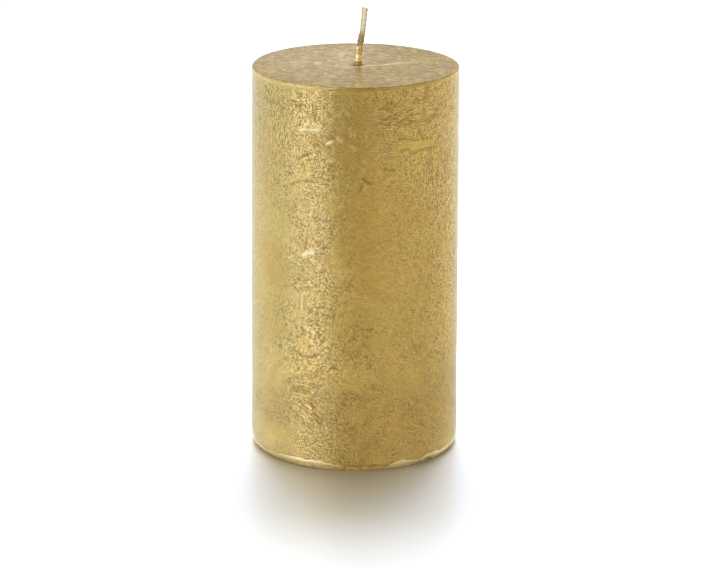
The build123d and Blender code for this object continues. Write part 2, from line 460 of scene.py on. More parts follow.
# ---- the wall of the coat ----
# columns stand closer together round the front
FRONT_HALF = 76.0  # degrees each way
FRONT_COLUMNS, BACK_COLUMNS, WALL_ROWS = 226, 124, 282
PROUD = 0.03  # how far the rim's smooth wax lies over the wall
UNDER = 0.05  # how far the wall lies under it
front_az = np.linspace(-FRONT_HALF, FRONT_HALF, FRONT_COLUMNS, endpoint=False)
back_az = arc(np.linspace(FRONT_HALF, 360 - FRONT_HALF, BACK_COLUMNS, endpoint=False), 0)
AZ, Z = np.meshgrid(np.concatenate([front_az, back_az]), np.linspace(1.2, TOP_Z - 0.3, WALL_ROWS))
H, FROST, FOLD, UPRIGHT, CRACK_SHADE, FLAKE_AND_HIGHLIGHT = wall_relief(AZ, Z)
calm = smooth(TOP_Z - 0.2, TOP_Z - 2.6, Z)  # the relief dies out at the rim
FROST = FROST * smooth(0.0, 1.3, TOP_Z - rim_reach(AZ) - Z)
R = foot_radius(Z) + H * calm - UNDER * (1 - calm)
R = np.minimum(R, rim_surface(AZ, Z) - UNDER * (1 - calm))
X, Y = polar(R, AZ)
Z = Z + sag(X, Y) * (Z / TOP_Z) ** 12  # the upper wall sinks with the top
masks = {"frost": FROST, "fold": FOLD, "upright": UPRIGHT, "slant": slant_amount(AZ, Z)}
# painted light and shade, only on the side seen from the front, kept in the shade attribute
seen = smooth(150, 80, np.abs(AZ))
PAINTED_LIGHT = 1 + seen * (by_place(PAINTED_LIGHT_LEVELS, PAINTED_LIGHT_AZIMUTHS, AZ, Z) - 1)
masks.update(crack=CRACK_SHADE, flake=FLAKE_AND_HIGHLIGHT, shade=PAINTED_LIGHT)
wall = grid_mesh("gold_coat_wall", np.stack([X, Y, Z], -1), masks)

# ---- the top of the coat ----
TOP_COLUMNS, TOP_RINGS = 384, 104
taz = np.arange(TOP_COLUMNS) / TOP_COLUMNS * 360 - 180
brushed = Field(32, 80, 80, 1.9, 0.45, stretch=2.2, angle=4, cell=0.3)
brushed_b = Field(33, 80, 80, 3.4, 0.4, stretch=1.8, angle=-14, cell=0.4)
hollows = Field(34, 80, 80, 15, 0.5, cell=1.0)

# lines on the top, as x and y
CREASE = [(-2.3, -6), (0.6, -3.3), (3.6, -2.2), (8.2, -1.3), (14.8, 2), (23, 4.6)]
SCRATCHES = [[(14, 9), (18.5, 17)], [(17, 7), (21.5, 15)], [(19.5, 5), (22.5, 11)]]


def top_relief(x, y):
    """Height over the flat top in mm, and a mask for the crease's crest, which also carries a painted
    highlight.
    """
    h = 0.015 * brushed(x + 40, y + 40) + 0.02 * brushed_b(x + 40, y + 40)
    h += 0.03 * hollows(x + 40, y + 40)
    near = np.hypot(x - ROOT_X, y)
    h *= smooth(0.8, 3.0, near)
    # the crease that runs to the right from the wick's root
    crest_and_highlight = near_line(x, y, CREASE, 1.1) * smooth(-4, 3, x) * smooth(27, 12, x)
    h += 0.22 * crest_and_highlight
    behind = near_line(x, y + 1.6, CREASE, 1.2) * smooth(-2, 3, x) * smooth(24, 12, x)
    h -= 0.08 * behind
    h += 0.05 * bell(near, 1.6, 0.5)  # wax drawn up round the root
    h += 0.16 * blob(x, y, 26.3, 7.3, 0.8, 1.1) - 0.16 * blob(x, y, 27.9, 7.0, 0.7, 0.9)
    h += 0.08 * near_line(x, y, [(-5.0, 3.9), (-1.8, 3.9)], 0.5)
    for scratch in SCRATCHES:
        h += 0.1 * near_line(x, y, scratch, 0.5)
    return h, crest_and_highlight


rows, CREST_AND_HIGHLIGHT = [], []
rim_round = rim_rounding(taz)
flat_r = TOP_R - rim_round  # where the rounding starts
HOLE_R = 1.15  # the wick's wax stands in a hole of this radius
for k in range(TOP_RINGS):
    t = k / (TOP_RINGS - 1)
    r = HOLE_R + (flat_r - HOLE_R) * t**0.9
    x, y = polar(r, taz, ROOT_X * (1 - t) ** 1.5)
    h, crest_and_highlight = top_relief(x, y)
    rows.append(np.stack([x, y, TOP_Z + h * (1 - smooth(0.95, 1.0, t))], -1))
    CREST_AND_HIGHLIGHT.append(crest_and_highlight)
# over the rounding, then down the smooth wax of the rim
for k in range(1, 11):
    a = k / 10 * math.pi / 2
    r = flat_r + (rim_round + PROUD) * math.sin(a)
    rows.append(ring(r, taz, TOP_Z - rim_round * (1 - math.cos(a))))
drop = rim_reach(taz) - rim_round
for k in range(1, 7):
    z = TOP_Z - rim_round - drop * k / 6
    ripple = 0.02 * lumps(taz / 360 * ROUND, z) * (k / 6)
    rows.append(ring(wall_radius(z) + PROUD * (1 - k / 6) + ripple, taz, z))
# the band's edge runs under the wall at a shallow angle
for below, inset in ((0.35, 0.04), (0.9, 0.14)):
    z = TOP_Z - rim_reach(taz) - below
    rows.append(ring(wall_radius(z) - inset, taz, z))
CREST_AND_HIGHLIGHT += [np.zeros(TOP_COLUMNS)] * (len(rows) - TOP_RINGS)
RIM = smooth(TOP_RINGS + 4, TOP_RINGS + 9, np.arange(len(rows)))
RIM = np.repeat(RIM[::-1, None], TOP_COLUMNS, 1)
top_points = np.stack(rows)[::-1]
top_points[..., 2] += sag(top_points[..., 0], top_points[..., 1])
# the top stays above the wax under the coat
inner = np.hypot(top_points[..., 0], top_points[..., 1]) < TOP_R - COAT - 0.2
lowest = np.where(inner, TOP_Z - COAT + 0.06, 0)
top_points[..., 2] = np.maximum(top_points[..., 2], lowest)
top = grid_mesh("gold_coat_top", top_points, {"rim": RIM, "crest_and_highlight": np.stack(CREST_AND_HIGHLIGHT)[::-1]})

# ---- the foot bead ----
BEAD_COLUMNS, BEAD_ROWS = 540, 26
faz = np.arange(BEAD_COLUMNS) / BEAD_COLUMNS * 360 - 180
foot_noise = Field(41, 360, 40, 30, 0.6, cell=1.0)
foot_fine = Field(42, 360, 40, 6, 0.5, cell=0.5)
foot_rows = Field(43, ROUND, 40, 4, 0.5)
# height of the bead's upper edge round the candle
top_edge = round_profile(
    faz,
    [
        (-110, 3.2), (-75, 2.8), (-55, 2.7), (-38, 3.5), (-20, 3.6), (-14, 3.2), (-9, 2.4), (0, 2.2),
        (10, 2.0), (19, 1.8), (22, 2.6), (25, 3.6), (29, 3.7), (33, 2.4), (37, 2.2), (42, 2.9),
        (47, 3.6), (56, 3.2), (62, 3.0), (72, 3.3), (90, 3.0), (130, 3.4), (180, 2.9), (-150, 3.5),
    ],
)
top_edge += 0.25 * foot_noise(faz + 180, faz * 0) * smooth(60, 90, np.abs(faz))
top_edge += 0.13 * foot_fine(faz + 180, faz * 0 + 9)
# chips, where the bead's foot is broken away: azimuth, half width, height
CHIPS = ((40.5, 3.2, 0.8), (46.5, 3.6, 1.5), (37.0, 1.5, 0.3), (150, 5, 0.9), (-118, 4, 0.8))
chip = 0.14 * smooth(-66, -52, faz) * smooth(-10, -20, faz)  # a thin gap under the left front
for az0, half, height in CHIPS:
    chip = np.maximum(chip, height * np.exp(-(np.abs(arc(faz, az0) / half) ** 2.6)))
# how far the bead's shoulder stands out, and how much painted highlight it carries: share, azimuth, half
# width
SHOULDERS = ((0.16, 27.5, 7), (0.2, 54, 10), (0.16, -30, 15), (-0.08, 3, 13))
HIGHLIGHT_PARTS = ((0.75, -28, 13), (0.6, 27, 7), (0.75, 54, 14), (-0.25, 4, 13))
proud = 0.1 + sum(share * bell(arc(faz, az0), 0, half) for share, az0, half in SHOULDERS)
shoulder_highlight = 0.25 + sum(share * bell(arc(faz, az0), 0, half) for share, az0, half in HIGHLIGHT_PARTS)
rows, RIDGE_HIGHLIGHT = [], []
u = faz / 360 * ROUND
for k in range(BEAD_ROWS):
    t = k / (BEAD_ROWS - 1)
    z = chip + (top_edge - chip) * t
    r = foot_radius(z) + proud * smooth(0.25, 0.75, t) * (1 - 0.8 * smooth(0.84, 1.0, t))
    r += 0.03 * foot_rows(u, z) * smooth(0.0, 0.25, t)
    r -= 0.45 * np.clip(chip, 0, 1) * (1 - smooth(0.0, 0.3, t))
    rows.append(ring(r, faz, z))
    # painted highlight, growing towards the top of the bead
    RIDGE_HIGHLIGHT.append(shoulder_highlight * smooth(0.0, 0.35, t))
# over the edge, and down the hidden inside
for r, z in ((foot_radius(top_edge) - 0.12, top_edge + 0.03), (32.2, 0.5 * top_edge), (31.95, chip)):
    rows.append(ring(r, faz, z))
    RIDGE_HIGHLIGHT.append(0 * faz)
bead = grid_mesh("foot_bead_rim", np.stack(rows), {"ridge_highlight": np.stack(RIDGE_HIGHLIGHT)}, closed=True)

# ---- the wick ----
# the standing part of its line, as x and z from the root
STAND = [(0, 0), (0.26, 3.1), (0.5, 6.2), (0.76, 7.0), (0.86, 8.4), (1.12, 9.7), (1.44, 11.1)]
STAND += [(1.8, 14.3), (2.02, 16.9), (2.12, 19.4)]
STAND_X, STAND_Z = np.array(STAND).T
WICK_LOW, WICK_TOP = (corner.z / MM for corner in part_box("wick"))
BORE_LOW = 2.5  # height at which the line in the bore leaves the axis


def wick_x(z):
    """Sideways place of the wick's centre at a height, softened at the bends."""
    total, offsets = 0, np.linspace(-0.75, 0.75, 7)
    for offset in offsets:
        above = z + offset - TOP_Z
        inside = ROOT_X * (z + offset - BORE_LOW) / (TOP_Z - BORE_LOW)
        total += np.where(above < 0, inside, ROOT_X + np.interp(above, STAND_Z, STAND_X))
    return total / len(offsets)


def directions(points):
    """Unit tangents of a line of points [n, 3]."""
    tangent = np.gradient(points, axis=0)
    return tangent / np.linalg.norm(tangent, axis=1, keepdims=True)


def tube(points, radius, sides):
    """Rings round a line of points [n, 3]; radius is a number or one for each point."""
    tangent = directions(points)
    side = np.cross(tangent, (0.0, 1.0, 0.0))
    side /= np.linalg.norm(side, axis=1, keepdims=True)
    other = np.cross(tangent, side)
    a = np.arange(sides) / sides * 2 * math.pi
    circle = side[:, None] * np.cos(a)[:, None] + other[:, None] * np.sin(a)[:, None]
    return points[:, None] + circle * np.broadcast_to(radius, len(points))[:, None, None]


def wick_line(z):
    """Points on the wick's centre line at some heights."""
    return np.stack([wick_x(z), 0 * z, z], -1)


def filled(z):
    """Wax fills the upper half of the standing wick, so its plait shows less there."""
    return smooth(TOP_Z + 9.5, TOP_Z + 12.0, z)


STRANDS, STRAND_R = 8, 0.335
PITCH = 7.0  # height in which a strand goes once round
BRAID_LOW = TOP_Z + 3.0  # the braid starts inside the wax sleeve
sample = np.arange(BRAID_LOW, WICK_TOP + 0.9, 0.13)
line = wick_line(sample)
tangent = directions(line)
across = np.stack([tangent[:, 2], 0 * sample, -tangent[:, 0]], -1)
flare = 0.16 * smooth(WICK_TOP - 1.8, WICK_TOP - 0.2, sample)
loose = 0.14 * bell(sample, TOP_Z + 8.0, 1.6)
tubes = []
for s in range(STRANDS):
    turn = 1 if s % 2 else -1
    phase = (s // 2) / (STRANDS / 2) * 2 * math.pi + (0.4 if turn > 0 else 0)
    a = turn * 2 * math.pi * (sample - BRAID_LOW) / PITCH + phase
    weave = np.cos(a * turn * 4 + (0 if turn > 0 else math.pi))
    r = 0.5 + (0.075 - 0.055 * filled(sample)) * weave + flare + loose
    # slightly flat across the line of sight, as a plaited wick is
    p = line + across * (r * 1.06 * np.cos(a))[:, None]
    p[:, 1] += r * 0.92 * np.sin(a)
    p[:, 0] += 0.02 * np.sin(sample * 3.1 + s * 2.0)
    tubes.append(tube(p, STRAND_R, 8))
core_z = np.linspace(WICK_LOW, BRAID_LOW, 60, endpoint=False)
core_z = np.concatenate([core_z, np.arange(BRAID_LOW, WICK_TOP + 0.6, 0.3)])
core_r = np.where(core_z < BRAID_LOW, 0.82, 0.62 + 0.16 * filled(core_z))
tubes.append(tube(wick_line(core_z), core_r, 16))
# the slanted cut: nothing stands above this plane, whose -X side is the higher
CUT_SLOPE = math.tan(math.radians(12.0))
cut_x = float(wick_x(WICK_TOP - 0.3)) - 0.9
points, faces, count = [], [], 0
for grid in tubes:
    grid[..., 2] = np.minimum(grid[..., 2], WICK_TOP - 0.18 - CUT_SLOPE * (grid[..., 0] - cut_x))
    faces += grid_faces(grid, count, caps=((0, True), (-1, False)))
    points.append(grid.reshape(-1, 3))
    count += len(points[-1])
wick = linked_mesh("wick_braid", np.concatenate(points), faces)

# ---- the wax round the standing wick ----
SLEEVE_LOW, SLEEVE_HIGH = TOP_Z - 0.35, TOP_Z + 6.25
SLEEVE_ROWS, SLEEVE_COLUMNS = 64, 40
heights = np.linspace(SLEEVE_LOW, SLEEVE_HIGH, SLEEVE_ROWS)
angles = np.arange(SLEEVE_COLUMNS) / SLEEVE_COLUMNS * 2 * math.pi
SZ, SA = np.meshgrid(heights, angles, indexing="ij")
above = SZ - TOP_Z
lumpy = Field(51, 2 * math.pi, 12, 1.8, 0.5, cell=0.1)
girth = 1.02 + 0.06 * smooth(4.5, 5.8, above)
# the bulb at the root, the collar on the top, the waists, and the thin upper edge
girth += 0.34 * bell(above, 1.2, 1.0) * (1 + 0.25 * np.cos(SA - math.pi))
girth += 0.42 * bell(np.maximum(above, 0), 0, 0.45)
girth -= 0.1 * bell(above, 0.55, 0.3)
girth -= 0.1 * bell(above, 3.4, 0.9)
girth -= 0.22 * smooth(5.9, 6.25, above)
# a thin raised run of wax down the left front, with a painted highlight along it
RUN_HIGHLIGHT = bell(arc(np.degrees(SA), 218), 0, 17) * smooth(2.2, 2.8, above) * smooth(6.0, 5.4, above)
girth += 0.1 * RUN_HIGHLIGHT
girth += 0.022 * lumpy(SA, SZ)
sleeve_points = np.stack([wick_x(SZ) + girth * np.cos(SA), girth * np.sin(SA) * 0.97, SZ], -1)
sleeve = grid_mesh("wick_wax_drip", sleeve_points, {"streak": RUN_HIGHLIGHT}, caps=((0, True), (-1, False)))

# ---- riding and standing for ----
for obj, node, slot in [
    (wall, "gold_coat", "gold_metallic_wax"),
    (top, "gold_coat", "gold_metallic_wax"),
    (bead, "foot_bead", "gold_remelt_wax"),
    (wick, "wick", "wick_cotton"),
    (sleeve, "wick_wax_sleeve", "sleeve_wax"),
]:
    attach(obj, "root")
    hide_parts(node)


# ---- materials ----
class Nodes:
    """Short ways to make and join shader nodes."""

    def __init__(self, tree):
        self.tree = tree
        tree.nodes.clear()

    def new(self, kind, **settings):
        node = self.tree.nodes.new(kind)
        for key, value in settings.items():
            setattr(node, key, value)
        return node

    def put(self, socket, value):
        if isinstance(value, bpy.types.NodeSocket):
            self.tree.links.new(value, socket)
        elif value is not None:
            socket.default_value = value

    def fill(self, node, **values):
        """Set or join inputs of a node by their names."""
        for key, value in values.items():
            self.put(node.inputs[key.replace("_", " ")], value)

    def math(self, op, a, b=None, c=None, clamp=False):
        node = self.new("ShaderNodeMath", operation=op, use_clamp=clamp)
        for socket, value in zip(node.inputs, (a, b, c)):
            self.put(socket, value)
        return node.outputs[0]

    def times(self, a, b, clamp=False):
        return self.math("MULTIPLY", a, b, clamp=clamp)

    def plus(self, a, b):
        return self.math("ADD", a, b)

    def minus(self, a, b, clamp=False):
        return self.math("SUBTRACT", a, b, clamp=clamp)

    def vector(self, op, a, b=None, output="Vector"):
        node = self.new("ShaderNodeVectorMath", operation=op)
        self.put(node.inputs[0], a)
        self.put(node.inputs["Scale" if op == "SCALE" else 1], b)
        return node.outputs[output]

    def scale(self, a, factor):
        return self.vector("SCALE", a, factor)

    def stretch(self, a, factors):
        return self.vector("MULTIPLY", a, factors)

    def move(self, a, by):
        return self.vector("ADD", a, by)

    def split(self, vector):
        """The x, y and z of a vector."""
        node = self.new("ShaderNodeSeparateXYZ")
        self.put(node.inputs[0], vector)
        return node.outputs

    def ramp(self, value, low, high, out_low=0.0, out_high=1.0):
        """A soft step between two values."""
        node = self.new("ShaderNodeMapRange", interpolation_type="SMOOTHSTEP")
        for socket, number in zip(node.inputs, (value, low, high, out_low, out_high)):
            self.put(socket, number)
        return node.outputs[0]

    def mix(self, factor, a, b):
        node = self.new("ShaderNodeMix", data_type="RGBA")
        for i, value in ((0, factor), (6, a), (7, b)):
            self.put(node.inputs[i], value)
        return node.outputs[2]

    def noise(self, vector, scale, detail=2.0, rough=0.5, distortion=0.0, output="Fac"):
        node = self.new("ShaderNodeTexNoise")
        self.fill(node, Vector=vector, Scale=scale, Detail=detail, Roughness=rough, Distortion=distortion)
        return node.outputs[output]

    def edges(self, vector, scale):
        """Distance to the nearest border between random cells."""
        node = self.new("ShaderNodeTexVoronoi", feature="DISTANCE_TO_EDGE")
        self.fill(node, Vector=vector, Scale=scale)
        return node.outputs["Distance"]

    def attribute(self, name):
        return self.new("ShaderNodeAttribute", attribute_name=name).outputs["Fac"]

    def place(self, stretch=(1.0, 1.0, 1.0)):
        """Object position in mm."""
        coords = self.new("ShaderNodeTexCoord").outputs["Object"]
        return self.stretch(coords, tuple(s / MM for s in stretch))

    def shader(self, color, roughness, metallic=0.0, height=None, distance=0.0001, **values):
        """One Principled surface, with a bump of this distance in metres where a height is given."""
        p = self.new("ShaderNodeBsdfPrincipled")
        self.fill(p, Base_Color=color, Roughness=roughness, Metallic=metallic, **values)
        if height is not None:
            bump = self.new("ShaderNodeBump")
            self.fill(bump, Distance=distance, Height=height)
            self.put(p.inputs["Normal"], bump.outputs[0])
        out = self.new("ShaderNodeOutputMaterial")
        self.tree.links.new(p.outputs[0], out.inputs[0])


def material(name, build, *objects):
    m = bpy.data.materials.new(name)
    m.use_nodes = True
    build(Nodes(m.node_tree))
    for o in objects:
        o.data.materials.clear()
        o.data.materials.append(m)


GOLD = (0.8, 0.6, 0.235, 1)
GOLD_DEEP = (0.745, 0.535, 0.185, 1)
GOLD_GREEN = (0.79, 0.63, 0.225, 1)
GOLD_PALE = (0.84, 0.67, 0.33, 1)
# a dark gold used as painted shade in grooves, hollows, cracks and pits, and for a darker mottle on the
# bead
GOLD_MOTTLE_AND_SHADE = (0.37, 0.225, 0.05, 1)
CLEAR_WAX = {"Coat_Weight": 0.4, "Coat_Roughness": 0.16}  # over the pigment


def strokes(n, p, size=0.8, gate_low=0.37, gate_high=0.58, width=1.1, long_lines=1.0):
    """Thin curly grooves, 1 to 6 mm long, with flat wax between. 1 in a groove, 0 between."""
    p = n.scale(p, 1 / size)
    warp = n.noise(p, 0.38, 2.0, 0.6, output="Color")
    q = n.move(p, n.scale(n.vector("SUBTRACT", warp, (0.5, 0.5, 0.5)), 2.4))
    fine = n.ramp(n.edges(q, 0.8), 0.012 * width, 0.08 * width, 1.0, 0.0)
    fine_gate = n.ramp(n.noise(q, 0.9, 1.0, 0.5), gate_low, gate_high)
    # the middle level of a slow noise draws long wandering lines
    level = n.noise(n.move(p, (17.0, 5.0, 9.0)), 0.45, 2.0, 0.55, 0.8)
    line = n.math("ABSOLUTE", n.minus(level, 0.5))
    wander = n.ramp(line, 0.004 * width, 0.026 * width, 1.0, 0.0)
    line_gate = n.ramp(n.noise(n.move(p, (3.0, 41.0, 0.0)), 0.4, 1.0, 0.5), 0.38, 0.52)
    wander = n.times(n.times(wander, line_gate), long_lines)
    return n.math("MAXIMUM", n.times(fine, fine_gate), wander)


def blend(n, factor, a, b):
    """A number between two others."""
    return n.math("MULTIPLY_ADD", factor, n.minus(b, a), a)


def sheared(n, along, up, angle, squeeze, spread):
    """Wall coordinates turned by an angle, stretched along it and squeezed across it."""
    c, s = math.cos(math.radians(angle)), math.sin(math.radians(angle))
    u = n.plus(n.times(along, c * spread), n.times(up, s * spread))
    v = n.plus(n.times(along, -s * squeeze), n.times(up, c * squeeze))
    join = n.new("ShaderNodeCombineXYZ")
    n.put(join.inputs[0], u)
    n.put(join.inputs[1], v)
    return join.outputs[0]


def gold_wall(n):
    p = n.place()
    names = ("frost", "fold", "upright", "slant", "crack", "flake")
    frost, fold, upright, slant, crack, flake = (n.attribute(name) for name in names)
    x, y, up = n.split(p)
    # millimetres round the wall from the front
    along = n.times(n.math("ARCTAN2", x, n.times(y, -1.0)), LOW_R)
    plain = strokes(n, p)
    tight = strokes(n, n.stretch(p, (1.0, 1.0, 1.25)), 0.56, 0.26, 0.44, 1.55, 0.6)
    standing = strokes(n, n.stretch(p, (1.15, 1.15, 0.42)))
    lying = strokes(n, sheared(n, along, up, 9, 1.15, 0.36))
    slanted = strokes(n, sheared(n, along, up, -38, 1.25, 0.36))
    low = n.ramp(up, 20.0, 42.0, 0.95, 0.0)
    lines = blend(n, low, plain, tight)
    lines = blend(n, upright, lines, standing)
    lines = blend(n, fold, lines, lying)
    lines = blend(n, slant, lines, slanted)
    frosted = n.times(lines, frost, clamp=True)
    frosted = n.times(frosted, n.minus(1.0, flake, clamp=True))
    beads = n.noise(p, 0.8, 2.0, 0.5)
    grain = n.noise(p, 3.0, 1.0, 0.5)
    soft = n.times(n.minus(beads, 0.5), n.math("MULTIPLY_ADD", frost, 0.24, 0.15))
    # the grain is coarser low down
    grains = n.times(grain, n.math("MULTIPLY_ADD", low, 0.3, 0.17))
    height = n.minus(n.plus(soft, grains), frosted)
    patch = n.noise(p, 0.055, 3.0, 0.55)
    tone = n.mix(n.ramp(patch, 0.38, 0.62), GOLD, GOLD_DEEP)
    green = n.noise(n.move(p, (91.0, 13.0, 40.0)), 0.04, 2.0, 0.5)
    tone = n.mix(n.ramp(green, 0.5, 0.66, 0.0, 0.6), tone, GOLD_GREEN)
    tone = n.mix(n.times(frost, 0.5, clamp=True), tone, GOLD_PALE)
    # painted shade in the hollows of the soft relief
    tone = n.mix(n.ramp(beads, 0.36, 0.6, 0.14, 0.0), tone, GOLD_MOTTLE_AND_SHADE)
    # painted light and shade: the gold made lighter or darker by its place on the front
    tone = n.scale(tone, n.attribute("shade"))
    # painted shade in the stroke grooves: stronger low down and in upright strokes, weaker in folds
    depth = n.minus(0.74, n.times(fold, 0.2))
    depth = n.math("MULTIPLY_ADD", low, 0.17, depth)
    depth = n.math("MULTIPLY_ADD", upright, 0.18, depth)
    color = n.mix(n.times(frosted, depth), tone, GOLD_MOTTLE_AND_SHADE)
    # painted shade in cracks, grooves and pits
    color = n.mix(n.times(crack, 0.7), color, GOLD_MOTTLE_AND_SHADE)
    # painted highlight on the raised streaks and flakes
    color = n.mix(n.times(flake, 0.55), color, (0.95, 0.84, 0.56, 1))
    rough = n.plus(0.2, n.times(grain, 0.08))
    n.shader(color, rough, metallic=1.0, height=height, distance=0.00013, **CLEAR_WAX)


def gold_top(n):
    p = n.place()
    rim, crest_and_highlight = n.attribute("rim"), n.attribute("crest_and_highlight")
    streak = n.noise(n.stretch(p, (0.42, 0.9, 1.0)), 1.1, 4.0, 0.62, 0.5)
    broad = n.noise(n.stretch(p, (0.5, 1.0, 1.0)), 0.28, 3.0, 0.6, 0.6)
    fleck = n.noise(n.move(p, (5.0, 70.0, 0.0)), 0.5, 3.0, 0.6)
    grain = n.noise(p, 3.0, 2.0, 0.6)
    inner = n.minus(1.0, n.times(rim, 0.9))
    height = n.times(n.plus(streak, n.times(grain, 0.25)), inner)
    tone = n.mix(n.ramp(fleck, 0.35, 0.65), (0.8, 0.605, 0.295, 1), (0.64, 0.47, 0.22, 1))
    tone = n.mix(n.ramp(broad, 0.4, 0.58, 0.62, 0.0), tone, (0.46, 0.335, 0.165, 1))
    pink = n.noise(n.move(p, (33.0, 20.0, 0.0)), 0.07, 2.0, 0.5)
    tone = n.mix(n.ramp(pink, 0.46, 0.62, 0.0, 0.6), tone, (0.71, 0.5, 0.29, 1))
    tone = n.mix(n.ramp(streak, 0.42, 0.56, 0.7, 0.0), tone, (0.38, 0.265, 0.115, 1))
    blotch = n.noise(n.stretch(p, (0.8, 0.35, 1.0)), 0.45, 2.0, 0.5)
    tone = n.mix(n.ramp(blotch, 0.36, 0.58, 0.5, 0.0), tone, (0.47, 0.32, 0.145, 1))
    gilt = n.noise(n.stretch(p, (1.0, 0.5, 1.0)), 0.22, 3.0, 0.6)
    tone = n.mix(n.ramp(gilt, 0.52, 0.64, 0.0, 0.55), tone, (0.76, 0.53, 0.22, 1))
    glint = n.noise(n.stretch(p, (0.75, 0.45, 1.0)), 0.62, 3.0, 0.55)
    tone = n.mix(n.ramp(glint, 0.48, 0.7, 0.0, 0.46), tone, (0.94, 0.82, 0.6, 1))
    # pinkish in the middle and back left, more golden elsewhere
    away = n.stretch(n.vector("SUBTRACT", p, (-12.0, 10.0, TOP_Z)), (1.0, 0.83, 0.0))
    away = n.vector("LENGTH", away, output="Value")
    away = n.plus(away, n.times(n.minus(broad, 0.5), 30.0))
    warm = n.mix(n.ramp(away, 10.0, 30.0), (1, 1, 1, 1), (0.83, 0.81, 0.55, 1))
    tone = n.stretch(tone, warm)
    # painted highlight along the crease's crest
    tone = n.mix(n.times(crest_and_highlight, 0.7, clamp=True), tone, (0.95, 0.82, 0.55, 1))
    # painted shade where the wax meets the wick
    root = n.stretch(n.vector("SUBTRACT", p, (ROOT_X, 0.0, TOP_Z)), (1.0, 1.0, 0.0))
    near = n.vector("LENGTH", root, output="Value")
    tone = n.mix(n.ramp(near, 1.9, 3.2, 0.75, 0.0), tone, (0.26, 0.17, 0.055, 1))
    band = n.mix(n.ramp(fleck, 0.36, 0.62), (0.8, 0.61, 0.3, 1), (0.68, 0.5, 0.21, 1))
    color = n.mix(rim, tone, band)
    rough = n.plus(blend(n, rim, 0.42, 0.24), n.times(grain, 0.1))
    satin = {"Coat_Weight": 0.4, "Coat_Roughness": 0.4}
    n.shader(color, rough, metallic=1.0, height=height, distance=0.00028, **satin)


def gold_bead(n):
    p = n.place()
    ridge_highlight = n.attribute("ridge_highlight")
    big = n.noise(p, 0.16, 3.0, 0.55)
    fine = n.noise(p, 1.3, 3.0, 0.6)
    lines = n.times(strokes(n, p, 0.8), n.ramp(ridge_highlight, 0.2, 0.7, 0.45, 0.0))
    tone = n.mix(n.ramp(big, 0.38, 0.62), GOLD, GOLD_DEEP)
    # painted highlight on the bead's shoulder
    tone = n.mix(ridge_highlight, tone, (0.94, 0.83, 0.51, 1))
    color = n.mix(n.ramp(fine, 0.4, 0.68, 0.0, 0.25), tone, GOLD_MOTTLE_AND_SHADE)
    # painted shade in the stroke grooves
    color = n.mix(n.times(lines, 0.8), color, GOLD_MOTTLE_AND_SHADE)
    rough = n.plus(0.24, n.times(fine, 0.12))
    height = n.minus(n.plus(fine, n.times(big, 0.5)), lines)
    n.shader(color, rough, metallic=0.4, height=height, distance=0.0001, **CLEAR_WAX)


def wick_cotton(n):
    p = n.place()
    up = n.ramp(n.split(p)[2], TOP_Z + 9.5, TOP_Z + 12.5)
    thread = n.noise(n.stretch(p, (1.0, 1.0, 0.35)), 7.0, 3.0, 0.65)
    patch = n.noise(p, 0.9, 2.0, 0.5)
    tone = n.mix(up, (0.44, 0.345, 0.185, 1), (0.73, 0.735, 0.6, 1))
    tone = n.mix(n.ramp(patch, 0.35, 0.65, 0.0, 0.3), tone, (0.58, 0.5, 0.27, 1))
    dark = n.minus(0.55, n.times(up, 0.4))
    dark = n.times(n.ramp(thread, 0.35, 0.6, 1.0, 0.0), dark)
    color = n.mix(dark, tone, (0.24, 0.17, 0.07, 1))
    rough = n.plus(0.42, n.times(thread, 0.2))
    n.shader(color, rough, metallic=0.1, height=thread, distance=0.00005)


def sleeve_wax(n):
    p = n.place()
    foot = n.ramp(n.split(p)[2], TOP_Z + 0.1, TOP_Z + 1.6, 1.0, 0.0)
    cloud = n.noise(p, 0.9, 3.0, 0.55)
    tone = n.mix(n.ramp(cloud, 0.36, 0.64), (0.82, 0.66, 0.38, 1), (0.68, 0.5, 0.25, 1))
    # painted shade at the foot of the wax, where it meets the top
    color = n.mix(n.times(foot, 0.75), tone, (0.22, 0.14, 0.045, 1))
    # painted highlight along the run of wax
    color = n.mix(n.attribute("streak"), color, (0.98, 0.93, 0.74, 1))
    rough = n.plus(0.14, n.times(cloud, 0.08))
    n.shader(color, rough, metallic=0.5, height=cloud, distance=0.00006)


def plain_wax(shade, second, smoothest):
    """A clouded wax of two shades, for a hidden piece."""

    def build(n):
        p = n.place()
        cloud = n.noise(p, 0.12, 4.0, 0.6)
        grain = n.noise(p, 1.4, 3.0, 0.6)
        color = n.mix(n.ramp(cloud, 0.35, 0.65), shade, second)
        rough = n.plus(smoothest, n.times(grain, 0.12))
        n.shader(color, rough, height=grain, distance=0.00008, Subsurface_Weight=0.15)

    return build


def tin_plate(n):
    p = n.place(stretch=(1.0, 0.15, 1.0))
    brush = n.noise(p, 3.0, 3.0, 0.6)
    color = n.mix(n.ramp(brush, 0.35, 0.65), (0.62, 0.62, 0.6, 1), (0.72, 0.72, 0.7, 1))
    rough = n.plus(0.24, n.times(brush, 0.16))
    n.shader(color, rough, metallic=1.0, height=brush, distance=0.00001)


def label_paper(n):
    p = n.place()
    fibre = n.noise(n.stretch(p, (1.0, 0.5, 1.0)), 2.6, 4.0, 0.65)
    color = n.mix(n.ramp(fibre, 0.35, 0.65), (0.83, 0.82, 0.78, 1), (0.9, 0.89, 0.86, 1))
    rough = n.plus(0.72, n.times(fibre, 0.15))
    n.shader(color, rough, height=fibre, distance=0.00003)


